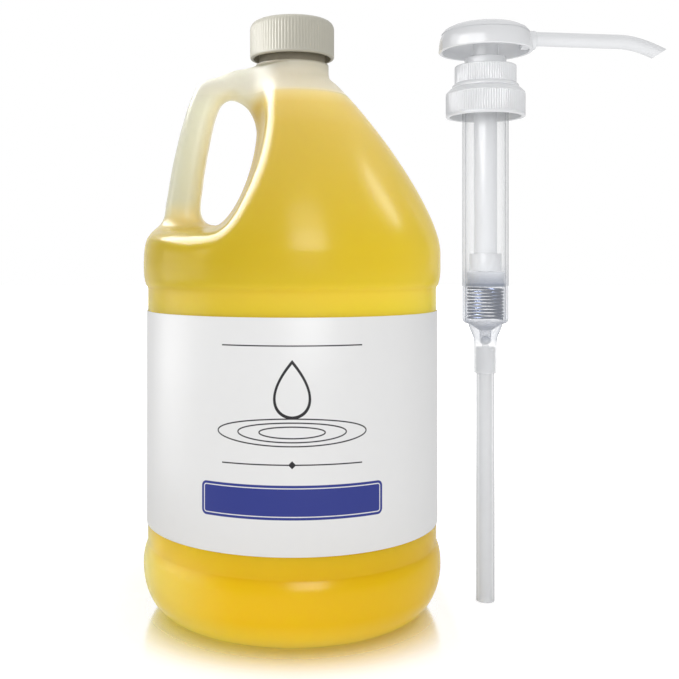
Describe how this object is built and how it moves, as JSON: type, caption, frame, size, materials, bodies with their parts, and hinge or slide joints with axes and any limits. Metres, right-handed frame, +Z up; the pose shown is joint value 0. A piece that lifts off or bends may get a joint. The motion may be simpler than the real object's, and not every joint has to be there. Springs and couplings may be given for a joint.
{
  "type": "pump oil bottle",
  "caption": "Round handled jug of golden massage oil with a screw cap and wrap label, and its hand pump with clear barrel, spring, ball valves, dip tube and long spout standing beside it.",
  "frame": {"origin": "middle of the set's footprint, on the floor", "axes": "+Z up, -X towards the jug's handle, +X towards the pump's spout, -Y is the front"},
  "size_m": [0.274, 0.1544, 0.304],
  "materials": {
    "natural_polyethylene": "milky see-through, soft gloss",
    "golden_oil": "clear golden liquid",
    "white_label_film": "satin film",
    "ivory_cap_plastic": "satin",
    "white_liner_foam": "matt foam",
    "white_pump_plastic": "satin gloss",
    "clear_barrel_plastic": "hazy clear",
    "grey_seal_plastic": "soft satin",
    "spring_steel": "drawn wire",
    "valve_ball_glass": "polished"
  },
  "bodies": {
    "jug": {"jug": "natural_polyethylene", "oil": "golden_oil", "label": "white_label_film"},
    "cap_liner": {"cap_liner": "white_liner_foam"},
    "screw_cap": {"screw_cap": "ivory_cap_plastic"},
    "pump_housing": {"barrel": "clear_barrel_plastic", "dip_tube": "clear_barrel_plastic", "neck_gasket": "white_liner_foam", "retainer_nut": "white_pump_plastic", "lock_bushing": "white_pump_plastic", "ball_cage": "white_pump_plastic", "return_spring": "spring_steel"},
    "pump_closure": {"pump_closure": "white_pump_plastic"},
    "piston_seal": {"piston_seal": "grey_seal_plastic"},
    "plunger": {"stem": "white_pump_plastic", "piston": "white_pump_plastic", "pump_head": "white_pump_plastic", "spout": "white_pump_plastic"},
    "inlet_ball": {"inlet_ball": "valve_ball_glass"},
    "outlet_ball": {"outlet_ball": "valve_ball_glass"}
  },
  "joints": [
    {"name": "cap_lift", "type": "slide", "parent": "jug", "child": "cap_liner", "axis": [0, 0, 1], "range_m": [0, 0.0191]},
    {"name": "cap_turn", "type": "hinge", "parent": "cap_liner", "child": "screw_cap", "pos_m": [-0.05975, 0, 0.29], "axis": [0, 0, 1], "range_deg": [0, 1620]},
    {"name": "pump_lift", "type": "slide", "parent": "jug", "child": "pump_housing", "axis": [0, 0, 1], "range_m": [0, 0.3]},
    {"name": "closure_spin", "type": "hinge", "parent": "pump_housing", "child": "pump_closure", "pos_m": [0.04195, 0, 0.26], "axis": [0, 0, 1], "continuous": true},
    {"name": "plunger_stroke", "type": "slide", "parent": "pump_housing", "child": "piston_seal", "axis": [0, 0, 1], "range_m": [0, 0.08], "deforming": ["return_spring"]},
    {"name": "head_turn", "type": "hinge", "parent": "piston_seal", "child": "plunger", "pos_m": [0.04195, 0, 0.29], "axis": [0, 0, 1], "range_deg": [0, 150]},
    {"name": "inlet_ball_lift", "type": "slide", "parent": "pump_housing", "child": "inlet_ball", "axis": [0, 0, 1], "range_m": [0, 0.0025]},
    {"name": "outlet_ball_lift", "type": "slide", "parent": "plunger", "child": "outlet_ball", "axis": [0, 0, 1], "range_m": [0, 0.003]}
  ],
  "couplings": [
    {"joint": "cap_lift", "follows": "cap_turn", "m_per_rad": 0.00067375}
  ]
}
